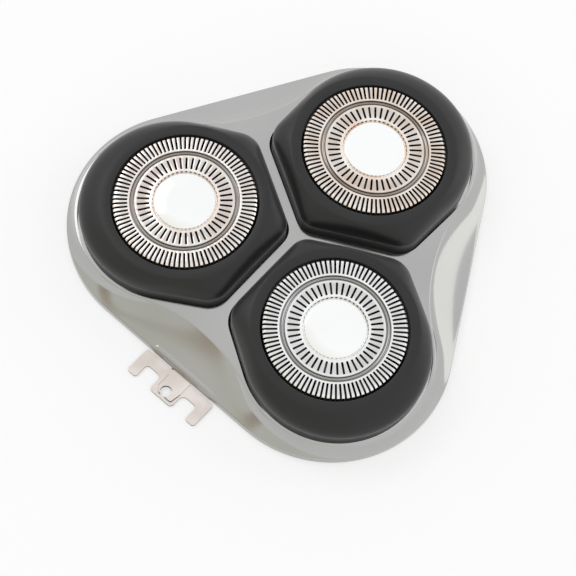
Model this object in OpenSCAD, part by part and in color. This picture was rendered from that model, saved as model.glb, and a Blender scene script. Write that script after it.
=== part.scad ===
// Three-head rotary shaver head unit: a plated housing with three floating cutting heads,
// a retaining frame with a turn lock underneath, and a swinging steel hinge plate.
// Millimetres. +Z is the shaving direction, z = 0 is the rim that seats on the shaver,
// the three-fold axis is x = y = 0 and the hinge is on the -Y side.

/* [Head layout] */
// Distance from the unit axis to each head's centre, on which the caps, rings and rim build
head_radius = 17.6; // [16:0.1:19]
// Width of the valley between the flanks of two neighbouring rings
ring_valley = 2.48; // [2.2:0.02:3]
// Height of the shaving surface above the rim
head_height = 9.6; // [9.5:0.1:10.2]
// Outward lean of each head at rest, degrees
head_lean = 4; // [3.5:0.5:5]

/* [Shaving cap] */
// Sheet thickness of the cap
cap_sheet = 0.25; // [0.2:0.01:0.28]
// Height of the cap from its face to its foot
cap_depth = 3.5; // [3.4:0.05:3.6]
// Width of the flange at the foot of the cap
cap_flange = 1.2; // [1.1:0.05:1.25]
// Width of the slope between the cap's face and its side
cap_edge = 0.5; // [0.4:0.05:0.6]
// Number of slots in the outer track
outer_slots = 90; // [80:1:96]
// Number of slots in the inner track
inner_slots = 45; // [40:1:50]
// Width of a slot
slot_width = 0.28; // [0.22:0.01:0.32]
// Length of an outer slot across the cap's face and edge
outer_slot_length = 2.3; // [2:0.05:2.5]
// Length of an inner slot
inner_slot_length = 2; // [1.8:0.05:2.2]
// Distance from the middle of the groove to the slots on either side
track_margin = 0.7; // [0.6:0.05:0.8]
// Width of the plain band between the inner slots and the well
well_band = 0.45; // [0.35:0.05:0.5]
// Depth of the well below the shaving surface
well_depth = 0.5; // [0.45:0.05:0.55]
// Width of the groove between the tracks
groove_width = 0.6; // [0.5:0.05:0.7]
// Depth of the groove between the tracks
groove_depth = 0.35; // [0.25:0.05:0.4]
// Gap between the centre disc and the side of its well
disc_gap = 0.2; // [0.1:0.05:0.3]
// Thickness of the centre disc
disc_thickness = 0.4; // [0.3:0.05:0.45]

/* [Floating ring] */
// Width of the ring at its outer arc, measured from the cap's radius
arc_wall = 3.35; // [3.2:0.05:3.4]
// How far the outer arc is centred outside the head's centre
ring_offset = 2; // [1.8:0.1:2.1]
// Width of the ring at each flat flank
flank_wall = 3; // [2.9:0.05:3.1]
// Width of the ring at each shoulder
shoulder_wall = 3.2; // [3.1:0.05:3.3]
// Corner radius where a flank meets the ring's side
shoulder_radius = 4; // [3.5:0.1:4.5]
// Corner radius of the point towards the unit axis
point_radius = 3; // [2.6:0.1:3.2]
// Width of the flat land round the cap
land_width = 1.9; // [1.7:0.05:2]
// Drop of the land below the shaving surface
land_drop = 0.4; // [0.3:0.05:0.5]
// Depth from the shaving surface to the ring's widest line
ring_waist = 4.4; // [4.2:0.1:4.6]
// Depth from the shaving surface to the ring's lower edge
ring_depth = 5.6; // [5.5:0.05:5.7]
// Gap between the ring and what snaps into it
snap_gap = 0.1; // [0.05:0.01:0.12]
// Radius of the pegs on which the ring tilts
peg_radius = 0.5; // [0.45:0.05:0.55]
// Depth of the pegs' axis below the shaving surface
peg_depth = 6.4; // [6.3:0.05:6.45]
// Length of a peg beyond the ring's shoulder
peg_length = 0.9; // [0.8:0.05:0.95]
// Width of the ears that carry the pegs
ear_width = 2; // [1.6:0.1:2.2]

/* [Carrier, cutter and drive] */
// Height of the carrier's rim
carrier_height = 1.8; // [1.6:0.05:1.9]
// Width of the carrier's rim
carrier_rim = 1.4; // [1.2:0.1:1.6]
// Width of a carrier spoke
spoke_width = 2.2; // [1.8:0.1:2.6]
// Thickness of a carrier spoke
spoke_height = 1; // [0.8:0.05:1.2]
// Wall of the carrier's bearing
bearing_wall = 1.2; // [1:0.1:1.4]
// Distance from the cap's radius to the cutter's edge
cutter_inset = 0.7; // [0.6:0.05:0.8]
// Radius of the hole that centres the cutter on its hub
cutter_hole = 2; // [1.7:0.1:2.2]
// Number of blade pairs on a cutter
blade_pairs = 9; // [7:1:11]
// Thickness of the cutter's sheet
blade_sheet = 0.35; // [0.3:0.01:0.4]
// Lean of a blade, degrees
blade_lean = 25; // [15:1:30]
// Gap between a blade's tip and the inside of the cap
blade_gap = 0.06; // [0.04:0.01:0.1]
// Height of a blade above the cutter's sheet
blade_height = 1.6; // [1.4:0.05:1.7]
// Radius of the hub's shaft
hub_radius = 2.9; // [2.7:0.05:3]
// Length of the hub's shaft below its flange
hub_length = 3.1; // [2.9:0.1:3.2]
// Overhang of the hub's flange beyond its shaft
flange_overhang = 1.3; // [1.1:0.1:1.5]
// Radius of the drive socket in the hub
socket_radius = 1.3; // [1.1:0.05:1.5]
// Depth of the drive socket
socket_depth = 2; // [1.6:0.1:2.2]
// Gap between a turning part and its bearing
running_gap = 0.06; // [0.04:0.01:0.09]

/* [Housing] */
// How much larger the rim's corner radius is than the crease's
rim_flare = 3.9; // [3.7:0.1:4.2]
// How far inside a head's centre its rim corner is centred
rim_inset = 1.1; // [0.9:0.1:1.3]
// Height of the crease between skirt and top, midway between two heads
crease_height = 4.6; // [4.5:0.05:4.7]
// Width of the housing's top between a pocket and the crease
crease_lip = 0.35; // [0.3:0.05:0.45]
// How far the crease lies outside the circle of the heads' centres, midway between two heads
waist_margin = 3.7; // [3.5:0.1:4.1]
// Rise of the top from the crease to the unit axis
top_dome = 1.2; // [1:0.1:1.4]
// Height of the upright band at the foot of the skirt
rim_band = 1.2; // [1:0.05:1.3]
// Wall thickness of the skirt
skirt_wall = 1.05; // [0.9:0.05:1.1]
// Thickness of the top between the heads
top_wall = 1; // [0.9:0.05:1.1]
// Gap round a floating ring in its pocket
pocket_gap = 0.3; // [0.26:0.01:0.32]
// Wall of the collar round each pocket
collar_wall = 0.8; // [0.7:0.05:0.9]
// Depth of the collar below the shaving surface
collar_depth = 6.1; // [6:0.05:6.2]

/* [Frame and lock] */
// Height of the retaining frame's lower face above the rim
frame_base = 0.7; // [0.6:0.05:0.75]
// Thickness of the retaining frame
frame_plate = 1.3; // [1.2:0.05:1.35]
// How far each lobe of the frame lies inside its carrier's edge
lobe_inset = 0.6; // [0.3:0.1:1]
// Width of the frame's arms that close the peg slots
finger_arm = 3; // [2.6:0.1:3.4]
// Width of the frame's arms that join its lobes to the lock
lobe_arm = 6; // [5:0.5:7]
// Width of the frame's arms that rest under the posts
post_arm = 4; // [3.5:0.1:4.5]
// Radius of each opening for a drive spindle
drive_opening = 5.2; // [5:0.1:5.6]
// Radius of the lock knob
lock_radius = 4.4; // [4.2:0.1:4.5]
// Thickness of the lock knob's disc
lock_plate = 1.2; // [1:0.1:1.3]
// Distance from the unit axis to each finger grip of the knob
grip_place = 3.4; // [3:0.1:3.6]
// Thickness of a finger grip
grip_width = 0.9; // [0.7:0.1:1.1]
// Length of a finger grip
grip_length = 4; // [3:0.1:4.4]
// Height of a finger grip below the knob's disc
grip_height = 0.65; // [0.5:0.05:0.75]
// Radius of the stem on which the knob turns
stem_radius = 1.2; // [1.05:0.05:1.2]
// Distance from the cap's radius in to the axis of each spring
spring_inset = 2; // [1.9:0.05:2.2]
// Outer radius of a spring
spring_radius = 1.4; // [1.3:0.05:1.5]
// Wire thickness of a spring
spring_wire = 0.3; // [0.26:0.02:0.34]
// Turns of a spring
spring_turns = 2.5; // [2:0.5:2.5]

/* [Hinge] */
// Sideways place of the hinge's middle along the hinged side
hinge_shift = 1.4; // [0.8:0.1:1.8]
// Width of the hinge plate
plate_width = 13.5; // [13:0.1:14]
// Sheet thickness of the hinge plate
plate_sheet = 0.25; // [0.22:0.01:0.27]
// Reach of the hinge plate's prongs beyond the rim
plate_reach = 4.95; // [4.7:0.05:5.2]
// Gap between the rim and the plate's root
root_gap = 0.3; // [0.25:0.01:0.35]
// Width of a prong
prong_width = 1.75; // [1.6:0.05:1.9]
// Width of the middle lobe
lobe_width = 4.4; // [4.2:0.1:4.7]
// Depth of the notches between the prongs and the lobe
notch_depth = 2.7; // [2.4:0.1:2.9]
// Radius of the inner corners of the notches
notch_corner = 0.9; // [0.6:0.1:1.1]
// Radius of the plate's outer corners
plate_corner = 0.5; // [0.3:0.05:0.6]
// Radius of the hole in the middle lobe
plate_hole = 0.9; // [0.8:0.05:0.95]
// Distance from the hole's centre to the lobe's end
hole_inset = 1.35; // [1.25:0.05:1.5]
// Width of the tongue that is folded back over the plate
tongue_width = 3.4; // [3:0.1:3.6]
// Width of the knuckle
knuckle_width = 3.8; // [3.6:0.1:4]
// Radius of the hinge pin
pin_radius = 0.25; // [0.22:0.01:0.26]
// Height of the hinge pin's axis above the rim
pin_height = 0.62; // [0.61:0.01:0.66]
// Distance of the pin's axis inside the rim
pin_inset = 0.75; // [0.72:0.01:0.8]
// Radius of the barrel on the rim that holds the pin
barrel_radius = 0.9; // [0.86:0.01:0.95]
// Length of the barrel between its round ends
barrel_length = 11; // [10:0.1:11.5]
// Length of the taper at each end of the barrel
barrel_taper = 1.2; // [0.8:0.1:1.5]

/* [Hidden] */
$fn = 64;
HEADS = 3;
STEP = 360 / HEADS;
function numbered(name) = [for (i = [1:HEADS]) str(name, "_", i)];
seam = 0.05;
through = 40;

// The cap is as large as the ring and the valley leave room for
flank_distance = head_radius * sin(STEP / 2) - ring_valley / 2;
cap_radius = flank_distance - flank_wall;

// Rings of the cap's face, from its edge inwards
outer_track = cap_radius - outer_slot_length;
groove_radius = outer_track - track_margin;
inner_track_end = groove_radius - track_margin;
inner_track = inner_track_end - inner_slot_length;
well_radius = inner_track - well_band;
disc_radius = well_radius - disc_gap;

// Floating ring, from the cap outwards
ring_arc = cap_radius + arc_wall;
shoulder_reach = cap_radius + shoulder_wall;
land_radius = cap_radius + land_width;
peg_reach = shoulder_reach + peg_length;

// Radial place of a head's axis at the depth of the ring's widest line
pocket_centre = head_radius - ring_waist * sin(head_lean);
crease_arc = ring_arc + pocket_gap + crease_lip;
crease_waist = head_radius + waist_margin;
rim_corner = crease_arc + rim_flare;
rim_corner_distance = head_radius - rim_inset;
rim_side = rim_corner_distance * cos(STEP / 2) + rim_corner;
carrier_radius = cap_radius + cap_flange;
carrier_top = cap_depth + seam;
carrier_foot = carrier_top + carrier_height;
cutter_radius = cap_radius - cutter_inset;
cutter_top = cap_sheet + blade_gap + blade_height;
hub_top = cutter_top + blade_sheet;
hub_flange = 0.8;
pilot_height = 1;
spring_seat = 0.6;
spring_bar = 1.6;
frame_lobe = carrier_radius - lobe_inset;
frame_top = frame_base + frame_plate;
spring_place = cap_radius - spring_inset;
dish_radius = lock_radius + 0.4;
dish_wall = 1.1;
dish_lift = 1.5;
lock_top = frame_base + dish_lift - seam;
stem_foot = 0.2;
bar_span = 4.6;
bar_width = 1.6;
bar_height = 0.5;
finger_width = 0.8;
finger_thickness = 0.4;
finger_top = head_height - peg_depth * cos(head_lean) - peg_radius - 2 * running_gap;
post_radius = 0.9;
post_place = head_radius - seam;
pin_y = -rim_side + pin_inset;
knuckle_radius = pin_radius + running_gap + plate_sheet;
room_radius = knuckle_radius + snap_gap;
plate_root = -rim_side - root_gap;
plate_tip = -rim_side - plate_reach;

// Puts children in the frame of head i: origin on the shaving surface, +X outwards, +Z out
module at_head(i) {
    rotate([0, 0, STEP * (i - 1) + 90])
        translate([head_radius, 0, head_height])
            rotate([0, head_lean, 0])
                children();
}

// Convex outline round a ring of circles [x, y, radius], given counter-clockwise
function tangent_angle(a, b) =
    atan2(b.y - a.y, b.x - a.x) - acos((a.z - b.z) / norm([b.x - a.x, b.y - a.y]));
function on_circle(c, angle) = [c.x + c.z * cos(angle), c.y + c.z * sin(angle)];

module belt(circles) {
    n = len(circles);
    polygon([for (i = [0:n - 1], end = [0, 1])
        on_circle(circles[(i + end) % n], tangent_angle(circles[i], circles[(i + 1) % n]))]);
    for (c = circles) translate([c.x, c.y]) circle(c.z);
}

// Reach of the same outline from the origin, in direction angle
function support(circles, angle) = max([for (c = circles) c.x * cos(angle) + c.y * sin(angle) + c.z]);
function belt_reach(circles, angle) =
    min([for (off = [-60:1.5:60]) support(circles, angle + off) / cos(off)]);

function grown(circles, by) = [for (c = circles) [c.x, c.y, c.z + by]];

// Rectangle with four round corners, from low to high
module slab(low, high, corner) {
    translate([low.x + corner, low.y]) square([high.x - low.x - 2 * corner, high.y - low.y]);
    translate([low.x, low.y + corner]) square([high.x - low.x, high.y - low.y - 2 * corner]);
    for (x = [low.x + corner, high.x - corner], y = [low.y + corner, high.y - corner])
        translate([x, y]) circle(corner);
}

// Joins closed loops of points, bottom first, into a solid
function flat_list(lists) = [for (l = lists) each l];

module loft(loops) {
    n = len(loops[0]);
    levels = len(loops);
    polyhedron(
        points = flat_list(loops),
        faces = concat(
            [[for (i = [0:n - 1]) i]],
            [for (k = [0:levels - 2], i = [0:n - 1], half = [0, 1])
                let (j = (i + 1) % n, low = k * n, high = low + n)
                    half == 0 ? [low + i, high + i, high + j] : [low + i, high + j, low + j]],
            [[for (i = [n - 1:-1:0]) (levels - 1) * n + i]]));
}

// Outline of a floating ring seen along its head's axis
shoulder_y = shoulder_reach - shoulder_radius;
shoulder_x = -(flank_distance - shoulder_radius - shoulder_y * sin(30)) / cos(30);
point_x = -(flank_distance - point_radius) / cos(30);
ring_circles = [
    [ring_offset, 0, ring_arc],
    [shoulder_x, shoulder_y, shoulder_radius],
    [point_x, 0, point_radius],
    [shoulder_x, -shoulder_y, shoulder_radius]];

// Outline of the rim and of its crease, as a reach from the unit axis
rim_circles = [for (i = [0:HEADS - 1])
    [rim_corner_distance * cos(STEP * i + 90), rim_corner_distance * sin(STEP * i + 90), rim_corner]];

crease_centre = pocket_centre + ring_offset;
waist_x = crease_centre * cos(STEP / 2);
waist_y = crease_centre * sin(STEP / 2);
cove_radius = ((crease_waist - waist_x) ^ 2 + waist_y ^ 2 - crease_arc ^ 2)
    / (2 * (crease_arc - crease_waist + waist_x));
cove_centre = crease_waist + cove_radius;
cove_end = atan2(waist_y * cove_radius / (crease_arc + cove_radius),
    waist_x + (cove_centre - waist_x) * crease_arc / (crease_arc + cove_radius));

// Angle between a direction and the nearest head's axis
function from_head(angle) = abs((angle + 90) % STEP - STEP / 2);
function crease_reach(angle) =
    let (v = from_head(angle), s = STEP / 2 - v)
        s < cove_end
            ? cove_centre * cos(s) - sqrt(cove_radius ^ 2 - (cove_centre * sin(s)) ^ 2)
            : crease_centre * cos(v) + sqrt(crease_arc ^ 2 - (crease_centre * sin(v)) ^ 2);
function crease_level(reach) = crease_height - (reach - crease_waist) * tan(head_lean);

// Skirt and top as loops of points: an upright band, a hollow sweep to the crease, a domed top
sweep_start = 38;
sweep = 68;
top_level = crease_height + top_dome;
function skirt_point(angle, bend, inset, drop) =
    let (rim = belt_reach(rim_circles, angle) - inset,
         crease = crease_reach(angle) - inset,
         rise = crease_level(crease_reach(angle)) - rim_band,
         r = rim + (crease - rim) * (sin(bend) - sin(sweep_start)) / (sin(sweep) - sin(sweep_start)),
         z = rim_band - drop + rise * (cos(sweep_start) - cos(bend)) / (cos(sweep_start) - cos(sweep)))
        [r * cos(angle), r * sin(angle), z];
function top_point(angle, share, inset, drop) =
    let (reach = crease_reach(angle),
         r = (reach - inset) * share,
         edge = crease_level(reach),
         z = edge + (top_level - edge) * (1 - share ^ 2) - drop)
        [r * cos(angle), r * sin(angle), z];

module shell_solid(inset, drop, base, angle_step, bends) {
    angles = [0:angle_step:359.9];
    loft(concat(
        [[for (a = angles) let (p = skirt_point(a, sweep_start, inset, drop)) [p.x, p.y, base]]],
        [for (b = bends) [for (a = angles) skirt_point(a, b, inset, drop)]],
        [for (share = [0.75, 0.5, 0.25, 0.03]) [for (a = angles) top_point(a, share, inset, drop)]]));
}

module pocket_prism(grow, depth) {
    translate([0, 0, -depth]) linear_extrude(depth + head_height / 3) belt(grown(ring_circles, grow));
}

// Slots that take the pegs from below, closed by the frame's fingers
module peg_slots() {
    r = peg_radius + running_gap;
    length = 3;
    below = 4;
    for (side = [-1, 1]) translate([0, side * (peg_reach + snap_gap - length / 2), -peg_depth]) {
        rotate([90, 0, 0]) cylinder(r = r, h = length, center = true);
        translate([0, 0, -below / 2]) cube([2 * r, length, below], center = true);
    }
}

// Puts children on the hinge pin's axis, with +Z of a child along it
module on_pin() {
    translate([hinge_shift, pin_y, pin_height]) rotate([0, 90, 0]) children();
}

// Round barrel with tapered ends that rises out of the skirt, and its bed inside the shell
module hinge_barrel() {
    half = barrel_length / 2;
    tip = barrel_radius / 3;
    intersection() {
        on_pin() rotate_extrude() polygon([
            [0, -half - barrel_taper], [tip, -half - barrel_taper], [barrel_radius, -half],
            [barrel_radius, half], [tip, half + barrel_taper], [0, half + barrel_taper]]);
        translate([-through / 2, -through, seam]) cube(through);
    }
}

module barrel_bed() {
    length = barrel_length + 2 * barrel_taper;
    translate([hinge_shift - length / 2, pin_y - through, -through])
        cube([length, through + barrel_radius + snap_gap, 2 * through]);
}

// Room for the knuckle and for the plate's tab, open below and outwards
module knuckle_room() {
    width = knuckle_width + 4 * snap_gap;
    on_pin() cylinder(r = room_radius, h = width, center = true);
    translate([hinge_shift - width / 2, pin_y - through, -through])
        cube([width, through + room_radius + seam, through + pin_height]);
}

// The pin lies in a blind bore that opens at the +X end of the barrel
pin_start = 1 - barrel_length / 2;
pin_end = barrel_length / 2 + barrel_taper - snap_gap;

module housing() {
    color([0.62, 0.62, 0.58]) difference() {
        union() {
            shell_solid(0, 0, 0, 4, [sweep_start, 45, 51, 57, 63, sweep]);
            hinge_barrel();
        }
        difference() {
            shell_solid(skirt_wall, top_wall, -1, 6, [sweep_start, 54, sweep]);
            for (i = [1:HEADS]) at_head(i) pocket_prism(pocket_gap + collar_wall, collar_depth);
            translate([0, 0, stem_foot]) cylinder(r = stem_radius, h = head_height);
            translate([0, 0, stem_foot + bar_height / 2])
                cube([bar_span, bar_width, bar_height], center = true);
            for (i = [1:HEADS]) rotate([0, 0, STEP * i - 90]) translate([post_place, 0, frame_top + seam])
                cylinder(r = post_radius, h = crease_height);
            barrel_bed();
        }
        for (i = [1:HEADS]) at_head(i) {
            pocket_prism(pocket_gap, collar_depth + 1);
            peg_slots();
        }
        knuckle_room();
        on_pin() translate([0, 0, pin_start]) cylinder(r = pin_radius, h = pin_end - pin_start + 1);
    }
}

module retaining_frame() {
    color([0.16, 0.17, 0.18]) difference() {
        union() {
            translate([0, 0, frame_base]) linear_extrude(frame_plate) for (i = [1:HEADS])
                rotate(STEP * (i - 1) + 90) {
                    translate([pocket_centre, 0]) circle(frame_lobe);
                    translate([pocket_centre, 0])
                        square([finger_arm, 2 * (peg_reach + snap_gap)], center = true);
                    translate([pocket_centre / 2, 0]) square([pocket_centre, lobe_arm], center = true);
                    rotate(STEP / 2) translate([0, -post_arm / 2])
                        square([post_place + post_radius + pocket_gap, post_arm]);
                }
            for (i = [1:HEADS], side = [-1, 1]) rotate([0, 0, STEP * (i - 1) + 90])
                translate([pocket_centre, side * (peg_reach - peg_length / 2), (finger_top + frame_base) / 2])
                    cube([finger_width, finger_thickness, finger_top - frame_base], center = true);
            translate([0, 0, frame_base]) cylinder(r = dish_radius + dish_wall, h = frame_plate + dish_lift);
        }
        for (i = [1:HEADS]) rotate([0, 0, STEP * (i - 1) + 90]) translate([pocket_centre, 0, 0])
            cylinder(r = drive_opening, h = through);
        cylinder(r = dish_radius, h = frame_base + dish_lift);
        cylinder(r = stem_radius + pocket_gap, h = through);
    }
}

module lock_knob() {
    color([0.85, 0.45, 0.15]) translate([0, 0, lock_top - lock_plate]) difference() {
        union() {
            cylinder(r = lock_radius, h = lock_plate);
            for (side = [-1, 1]) translate([side * grip_place, 0, -grip_height / 2 + seam])
                cube([grip_width, grip_length, grip_height + 2 * seam], center = true);
        }
        translate([0, 0, -through / 2]) cylinder(r = stem_radius + running_gap, h = through);
    }
}

// Fills an inner corner at (x, y) with a hollow round, towards side along X
module notch_fillet(x, y, side) {
    translate([x, y]) difference() {
        translate([side > 0 ? -seam : -notch_corner, -notch_corner])
            square([notch_corner + seam, notch_corner + seam]);
        translate([side * notch_corner, -notch_corner]) circle(notch_corner);
    }
}

// Plate seen from above: a back with two prongs and a lobe, and round inner corners
module plate_outline() {
    half = plate_width / 2;
    notch_end = plate_tip + notch_depth;
    slab([-half, notch_end], [half, plate_root], plate_corner);
    for (side = [-1, 1]) {
        middle = side * (half - prong_width / 2);
        slab([middle - prong_width / 2, plate_tip], [middle + prong_width / 2, plate_root], plate_corner);
        notch_fillet(side * lobe_width / 2, notch_end, side);
        notch_fillet(middle - side * prong_width / 2, notch_end, -side);
    }
    slab([-lobe_width / 2, plate_tip], [lobe_width / 2, plate_root], plate_corner);
}

module hinge_plate() {
    color([0.83, 0.8, 0.78]) difference() {
        union() {
            translate([hinge_shift, 0, pin_height - knuckle_radius]) {
                linear_extrude(plate_sheet) {
                    plate_outline();
                    translate([-knuckle_width / 2, plate_root - plate_corner])
                        square([knuckle_width, pin_y - plate_root + plate_corner]);
                }
                translate([knuckle_width / 2 - tongue_width, plate_tip + plate_corner, plate_sheet - seam])
                    cube([tongue_width, pin_y - plate_tip - plate_corner, plate_sheet + seam]);
            }
            on_pin() cylinder(r = knuckle_radius, h = knuckle_width, center = true);
        }
        translate([hinge_shift, plate_tip + hole_inset, -through / 2]) cylinder(r = plate_hole, h = through);
        on_pin() cylinder(r = pin_radius + running_gap, h = plate_width, center = true);
    }
}

module hinge_pin() {
    color([0.7, 0.7, 0.7]) on_pin() translate([0, 0, pin_start])
        cylinder(r = pin_radius, h = pin_end - pin_start);
}

// Ring section: a flat land, then a round shoulder down to the ring's outline
module head_ring(i) {
    angles = [0:5:359.9];
    turn = 62;
    color([0.2, 0.2, 0.21]) at_head(i) {
        difference() {
            loft(concat(
                [for (z = [-ring_depth, -ring_waist])
                    [for (a = angles) let (r = belt_reach(ring_circles, a)) [r * cos(a), r * sin(a), z]]],
                [for (bend = [14, 28, 42, 53, turn]) [for (a = angles)
                    let (edge = belt_reach(ring_circles, a),
                         share = (cos(bend) - cos(turn)) / (1 - cos(turn)),
                         r = land_radius + (edge - land_radius) * share,
                         z = -ring_waist + (ring_waist - land_drop) * sin(bend) / sin(turn))
                        [r * cos(a), r * sin(a), z]]]));
            translate([0, 0, -through / 2]) cylinder(r = cap_radius + snap_gap, h = through);
            translate([0, 0, -through - cap_depth + cap_sheet + seam])
                cylinder(r = carrier_radius + snap_gap, h = through);
        }
        ear_inner = carrier_radius + snap_gap;
        ear_length = shoulder_reach - ear_inner;
        ear_height = peg_depth - ring_depth + peg_radius;
        for (side = [-1, 1]) {
            translate([0, side * (ear_inner + ear_length / 2), -peg_depth]) {
                rotate([90, 0, 0]) cylinder(r = ear_width / 2, h = ear_length, center = true);
                translate([0, 0, ear_height / 2]) cube([ear_width, ear_length, ear_height], center = true);
            }
            translate([0, side * (shoulder_reach + peg_length / 2 - seam), -peg_depth]) rotate([90, 0, 0])
                cylinder(r = peg_radius, h = peg_length + 2 * seam, center = true);
        }
    }
}

module shaving_cap(i) {
    r = cap_radius;
    t = cap_sheet;
    g = groove_radius;
    w = groove_width / 2;
    lip = well_radius + 3 * seam;
    top = [[0, -well_depth], [well_radius, -well_depth], [lip, 0],
        [g - w, 0], [g - w / 2, -groove_depth], [g + w / 2, -groove_depth], [g + w, 0],
        [r - cap_edge, 0], [r, -cap_edge], [r, -cap_depth + t], [r + cap_flange, -cap_depth + t]];
    under = [[r + cap_flange, -cap_depth], [r - t, -cap_depth], [r - t, -cap_edge - t * 0.4],
        [r - cap_edge - t * 0.4, -t], [g + w + t * 0.3, -t], [g + w / 2 + t * 0.3, -groove_depth - t],
        [g - w / 2 - t * 0.3, -groove_depth - t], [g - w - t * 0.3, -t], [lip + t, -t],
        [well_radius + t, -well_depth - t], [0, -well_depth - t]];
    color([0.8, 0.8, 0.8]) at_head(i) difference() {
        rotate_extrude() polygon(concat(top, under));
        for (k = [0:outer_slots - 1]) rotate([0, 0, k * 360 / outer_slots])
            translate([outer_track, -slot_width / 2, -cap_edge - 0.3]) cube([3, slot_width, 2]);
        for (k = [0:inner_slots - 1]) rotate([0, 0, k * 360 / inner_slots])
            translate([inner_track, -slot_width / 2, -t - 0.2])
                cube([inner_track_end - inner_track, slot_width, 1]);
    }
}

module centre_disc(i) {
    color([0.95, 0.95, 0.95]) at_head(i) translate([0, 0, -well_depth])
        cylinder(r = disc_radius, h = disc_thickness);
}

module head_carrier(i) {
    color([0.12, 0.12, 0.13]) at_head(i) translate([0, 0, -carrier_foot]) difference() {
        union() {
            difference() {
                cylinder(r = carrier_radius, h = carrier_height);
                translate([0, 0, -through / 2]) cylinder(r = carrier_radius - carrier_rim, h = through);
            }
            cylinder(r = hub_radius + running_gap + bearing_wall, h = carrier_height);
            for (k = [0:HEADS - 1]) rotate([0, 0, STEP * (k + 0.5)]) translate([0, -spoke_width / 2, 0])
                cube([carrier_radius - carrier_rim / 2, spoke_width, spoke_height]);
            for (side = [-1, 1]) translate([side * spring_place, 0, 0])
                cylinder(r = spring_radius + pocket_gap, h = spring_seat);
            translate([0, 0, spring_seat / 2])
                cube([2 * carrier_radius - carrier_rim, spring_bar, spring_seat], center = true);
        }
        translate([0, 0, -through / 2]) cylinder(r = hub_radius + running_gap, h = through);
    }
}

module cutter(i) {
    color([0.75, 0.75, 0.77]) at_head(i) {
        translate([0, 0, -cutter_top - blade_sheet]) difference() {
            cylinder(r = cutter_radius, h = blade_sheet);
            translate([0, 0, -through / 2]) cylinder(r = cutter_hole, h = through);
        }
        for (k = [0:blade_pairs - 1], track = [[outer_track, cutter_radius], [inner_track, inner_track_end]])
            rotate([0, 0, k * 360 / blade_pairs])
                translate([track[0], 0, -cutter_top])
                    rotate([90, 0, 90]) linear_extrude(track[1] - track[0]) polygon([
                        [0, -seam], [blade_sheet, -seam],
                        [blade_sheet + blade_height * tan(blade_lean), blade_height],
                        [blade_height * tan(blade_lean), blade_height]]);
    }
}

module drive_hub(i) {
    color([0.85, 0.82, 0.7]) at_head(i) translate([0, 0, -hub_top]) difference() {
        union() {
            translate([0, 0, -seam]) cylinder(r = cutter_hole - seam, h = pilot_height);
            translate([0, 0, -hub_flange - seam]) cylinder(r = hub_radius + flange_overhang, h = hub_flange);
            translate([0, 0, -hub_flange - hub_length]) cylinder(r = hub_radius, h = hub_length);
        }
        translate([0, 0, -hub_flange - hub_length - 1]) cylinder(r = socket_radius, h = socket_depth + 1);
    }
}

// A coil of round wire standing on z = 0
module coil(height) {
    wire = spring_wire / 2;
    steps = 16;
    lead = (height - spring_wire) / spring_turns;
    loops = [for (k = [0:spring_turns * steps])
        let (turn = k * 360 / steps, z = wire + lead * k / steps)
            [for (a = [0:60:300]) let (r = spring_radius - wire - wire * cos(a))
                [r * cos(turn), r * sin(turn), z + wire * sin(a)]]];
    loft(loops);
}

// Two springs a head, outside and inside its pegs, from the frame to the carrier
module head_springs(i) {
    color([0.7, 0.7, 0.7]) rotate([0, 0, STEP * (i - 1) + 90]) for (side = [-1, 1]) {
        foot = head_height - carrier_foot * cos(head_lean) - side * spring_place * sin(head_lean);
        translate([pocket_centre + side * spring_place, 0, frame_top + seam])
            coil(foot - frame_top - spring_radius * sin(head_lean) - 3 * seam);
    }
}

housing();
retaining_frame();
lock_knob();
hinge_plate();
hinge_pin();
for (i = [1:HEADS]) {
    head_ring(i);
    shaving_cap(i);
    centre_disc(i);
    head_carrier(i);
    cutter(i);
    drive_hub(i);
    head_springs(i);
}
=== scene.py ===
# %% [markdown]
# A rotary shaver head, dressed for the camera.
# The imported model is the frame: every piece below is made in its place, in the same axes.
# +Z is the shaving direction, z = 0 is the rim that seats on the shaver, and the hinge is on -Y.

# %% Load the frame
import functools
import math

import bmesh
import bpy
from mathutils import Matrix, Vector


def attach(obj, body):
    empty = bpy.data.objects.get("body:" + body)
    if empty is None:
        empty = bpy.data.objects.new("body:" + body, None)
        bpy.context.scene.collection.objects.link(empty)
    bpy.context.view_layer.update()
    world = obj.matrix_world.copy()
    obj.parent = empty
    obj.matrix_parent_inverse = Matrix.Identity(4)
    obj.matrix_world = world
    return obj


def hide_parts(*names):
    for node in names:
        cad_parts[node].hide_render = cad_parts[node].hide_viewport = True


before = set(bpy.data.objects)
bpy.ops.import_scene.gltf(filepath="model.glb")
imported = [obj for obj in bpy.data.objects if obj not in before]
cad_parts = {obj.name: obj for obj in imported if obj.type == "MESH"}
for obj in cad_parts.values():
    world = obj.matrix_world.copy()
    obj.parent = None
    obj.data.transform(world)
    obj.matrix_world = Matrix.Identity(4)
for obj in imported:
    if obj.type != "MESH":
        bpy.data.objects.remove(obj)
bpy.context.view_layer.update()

# %% [markdown]
# The pieces are shaped in millimetres, because the real ones are drawn that way, and each is
# scaled to metres once, when it becomes an object. A few sizes drive the rest: move the heads
# apart, and the caps, rings, crease and rim follow. They are the sizes of the construction.

# %% Driving sizes, in millimetres and degrees
MM = 0.001
HEADS = (1, 2, 3)
HEAD_STEP = 120         # from one head to the next, in degrees
HEAD_RADIUS = 17.6      # from the middle of the unit to the middle of a head
HEAD_HEIGHT = 9.6       # of the shaving surface, over the foot of the rim
HEAD_LEAN = 4           # how far each head faces outwards, in degrees
RING_VALLEY = 2.48      # the strip of housing between two rings
FLANK_WALL = 3          # of a ring, on the sides that face the other heads

flank_distance = HEAD_RADIUS * math.sin(math.radians(HEAD_STEP / 2)) - RING_VALLEY / 2
cap_radius = flank_distance - FLANK_WALL
print("flank", round(flank_distance, 3), "mm from the head's middle, cap radius", round(cap_radius, 3))

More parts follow.
